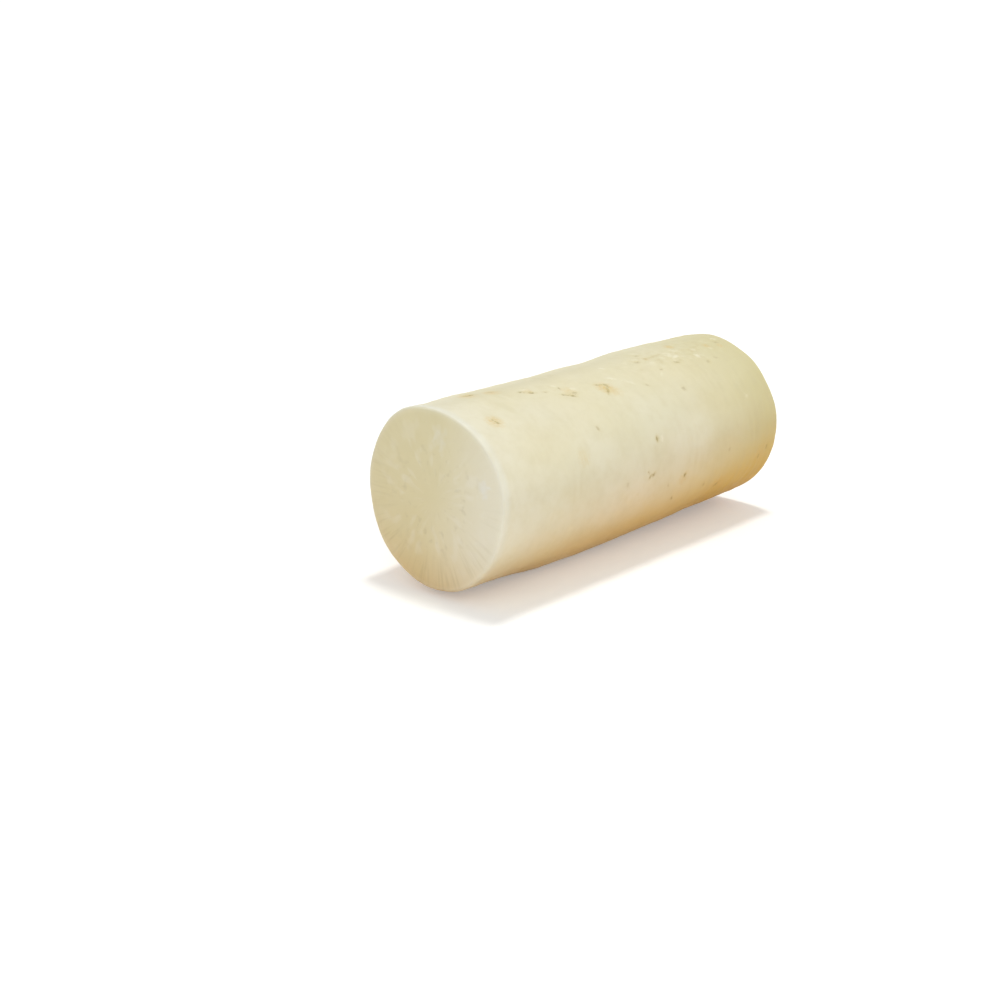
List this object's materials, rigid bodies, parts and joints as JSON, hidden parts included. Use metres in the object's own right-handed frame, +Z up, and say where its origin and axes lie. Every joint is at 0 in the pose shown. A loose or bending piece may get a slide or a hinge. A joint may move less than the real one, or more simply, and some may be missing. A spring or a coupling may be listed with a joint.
{
  "type": "korean radish",
  "caption": "Stout white root vegetable cut square at both ends, lying on its side on a small flat.",
  "frame": {"origin": "centre of the bounding box's underside, on the surface that the root rests on", "axes": "+X along the root from the front cut to the far cut, +Z up"},
  "size_m": [0.2142, 0.0902, 0.0887],
  "materials": {
    "radish_skin_and_flesh": "thin smooth cream-white skin with a damp satin sheen, and pale moist flesh on the two cuts"
  },
  "bodies": {
    "root": {"radish": "radish_skin_and_flesh"}
  },
  "joints": []
}
